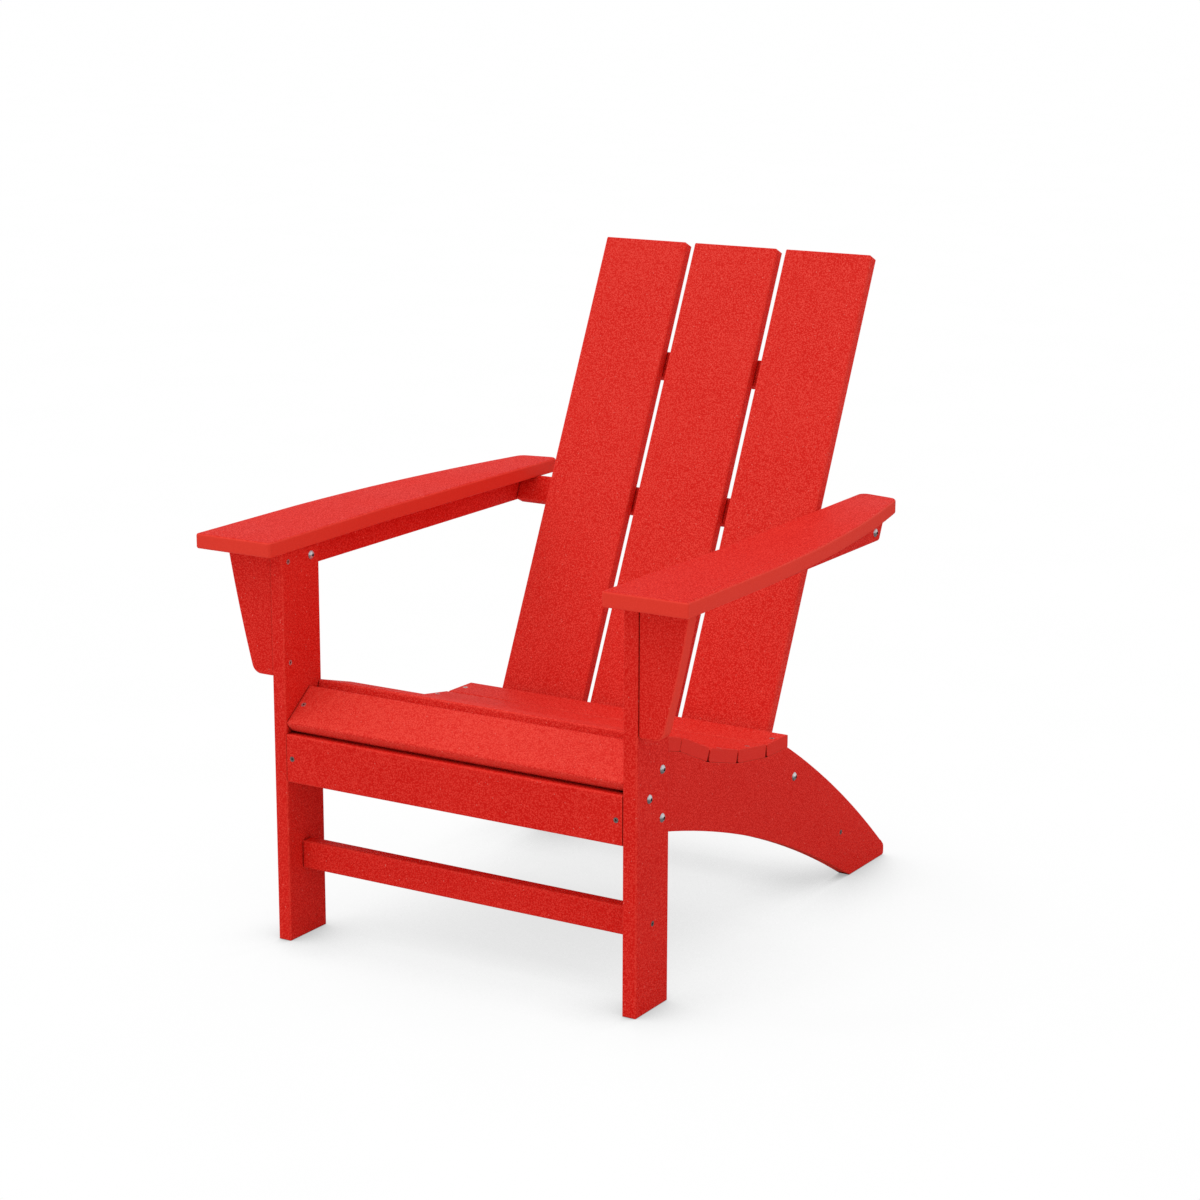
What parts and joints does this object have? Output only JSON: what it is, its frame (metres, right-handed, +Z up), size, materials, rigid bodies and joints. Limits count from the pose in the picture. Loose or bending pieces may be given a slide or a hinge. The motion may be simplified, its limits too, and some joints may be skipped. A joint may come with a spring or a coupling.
{
  "type": "adirondack chair",
  "caption": "Low lounge chair with a leaning slatted back, contoured slat seat and wide flat arms, bolted together from plastic lumber boards.",
  "frame": {"origin": "on the floor, midway across the chair and midway between the front edge of the arms and the rear of the back's top", "axes": "+X across the chair, to the right as seen from the front; -Y is where the chair faces; +Z up"},
  "size_m": [0.774, 0.8366, 0.9157],
  "materials": {
    "red_lumber": "matte, fine pebbled grain",
    "stainless": "satin"
  },
  "bodies": {
    "root": {"left_front_leg": "red_lumber", "right_front_leg": "red_lumber", "left_stringer": "red_lumber", "right_stringer": "red_lumber", "front_apron": "red_lumber", "front_stretcher": "red_lumber", "rear_stretcher": "red_lumber", "front_seat_slat": "red_lumber", "seat_slat_1": "red_lumber", "seat_slat_2": "red_lumber", "seat_slat_3": "red_lumber", "seat_slat_4": "red_lumber", "seat_slat_5": "red_lumber", "left_back_slat": "red_lumber", "middle_back_slat": "red_lumber", "right_back_slat": "red_lumber", "upper_back_brace": "red_lumber", "arm_back_brace": "red_lumber", "seat_back_brace": "red_lumber", "left_arm": "red_lumber", "right_arm": "red_lumber", "left_arm_rail": "red_lumber", "right_arm_rail": "red_lumber", "left_arm_gusset": "red_lumber", "right_arm_gusset": "red_lumber", "leg_bolts": "stainless", "leg_washers": "stainless", "leg_nuts": "stainless", "rail_bolts": "stainless", "rail_washers": "stainless", "rail_nuts": "stainless", "brace_bolts": "stainless", "apron_screws": "stainless", "stretcher_screws": "stainless", "gusset_screws": "stainless", "seat_slat_screws": "stainless", "back_slat_screws": "stainless", "arm_screws": "stainless"}
  },
  "joints": []
}
